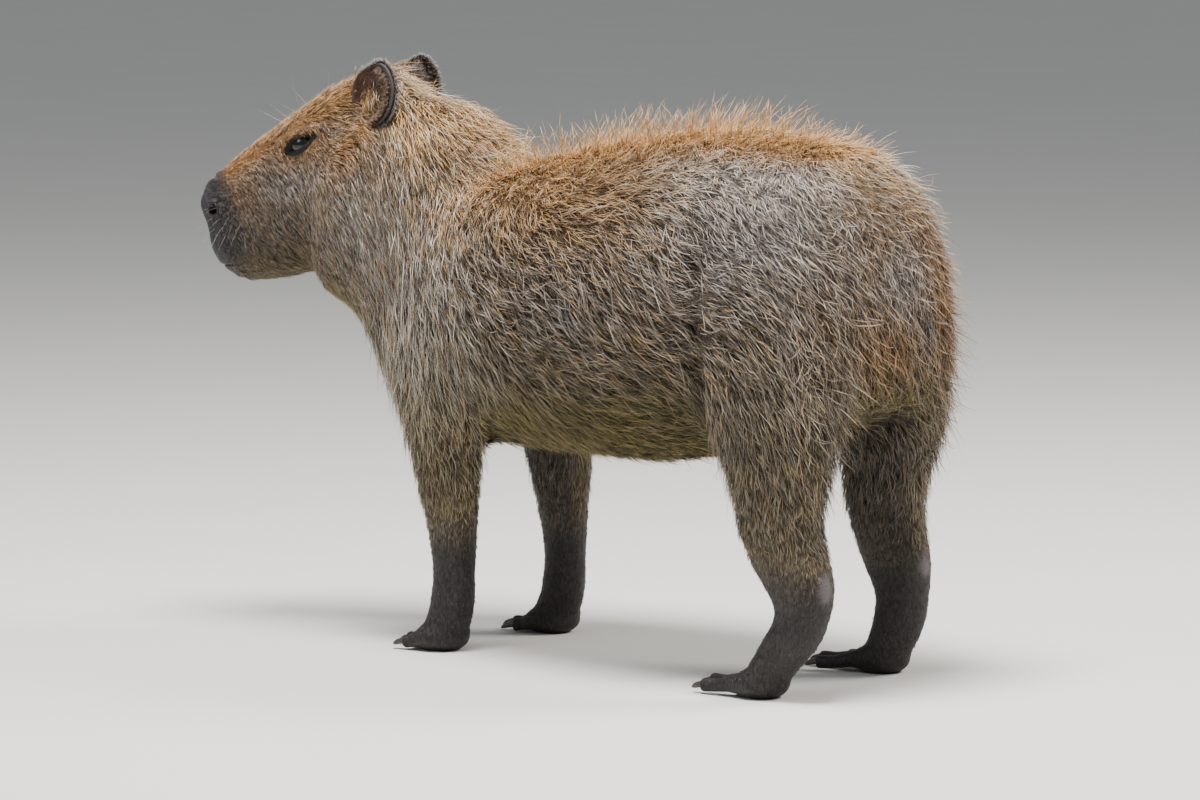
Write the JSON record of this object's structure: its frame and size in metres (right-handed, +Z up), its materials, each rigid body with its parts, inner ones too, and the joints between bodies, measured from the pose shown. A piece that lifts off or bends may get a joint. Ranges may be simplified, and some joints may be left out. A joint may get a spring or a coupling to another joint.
{
  "type": "capybara",
  "caption": "Standing capybara, life size, with a raised blunt head, small cupped ears, a bristly coat on the trunk and short dark legs with webbed, hoof-clawed feet.",
  "frame": {"origin": "middle of the animal's box, on the floor under its feet", "axes": "+X towards the tail, +Y towards the animal's right side, +Z up"},
  "size_m": [0.899, 0.3418, 0.625],
  "materials": {
    "coat": "coarse, bristly brown fur with pale tips",
    "short_coat": "short dark fur lying flat",
    "bare_skin": "dark bare skin, slightly wrinkled",
    "eye": "dark, wet and glossy",
    "claw": "dark horn, satin"
  },
  "bodies": {
    "root": {"torso": "coat", "neck": "coat", "head": "coat", "thigh_left": "coat", "thigh_right": "coat", "shank_left": "short_coat", "shank_right": "short_coat", "foreleg_left": "short_coat", "foreleg_right": "short_coat", "hindfoot_left": "bare_skin", "hindfoot_right": "bare_skin", "forefoot_left": "bare_skin", "forefoot_right": "bare_skin", "ear_left": "bare_skin", "ear_right": "bare_skin", "eye_left": "eye", "eye_right": "eye", "hindfoot_claw_left_1": "claw", "hindfoot_claw_left_2": "claw", "hindfoot_claw_left_3": "claw", "hindfoot_claw_right_1": "claw", "hindfoot_claw_right_2": "claw", "hindfoot_claw_right_3": "claw", "forefoot_claw_left_1": "claw", "forefoot_claw_left_2": "claw", "forefoot_claw_left_3": "claw", "forefoot_claw_left_4": "claw", "forefoot_claw_right_1": "claw", "forefoot_claw_right_2": "claw", "forefoot_claw_right_3": "claw", "forefoot_claw_right_4": "claw"}
  },
  "joints": []
}
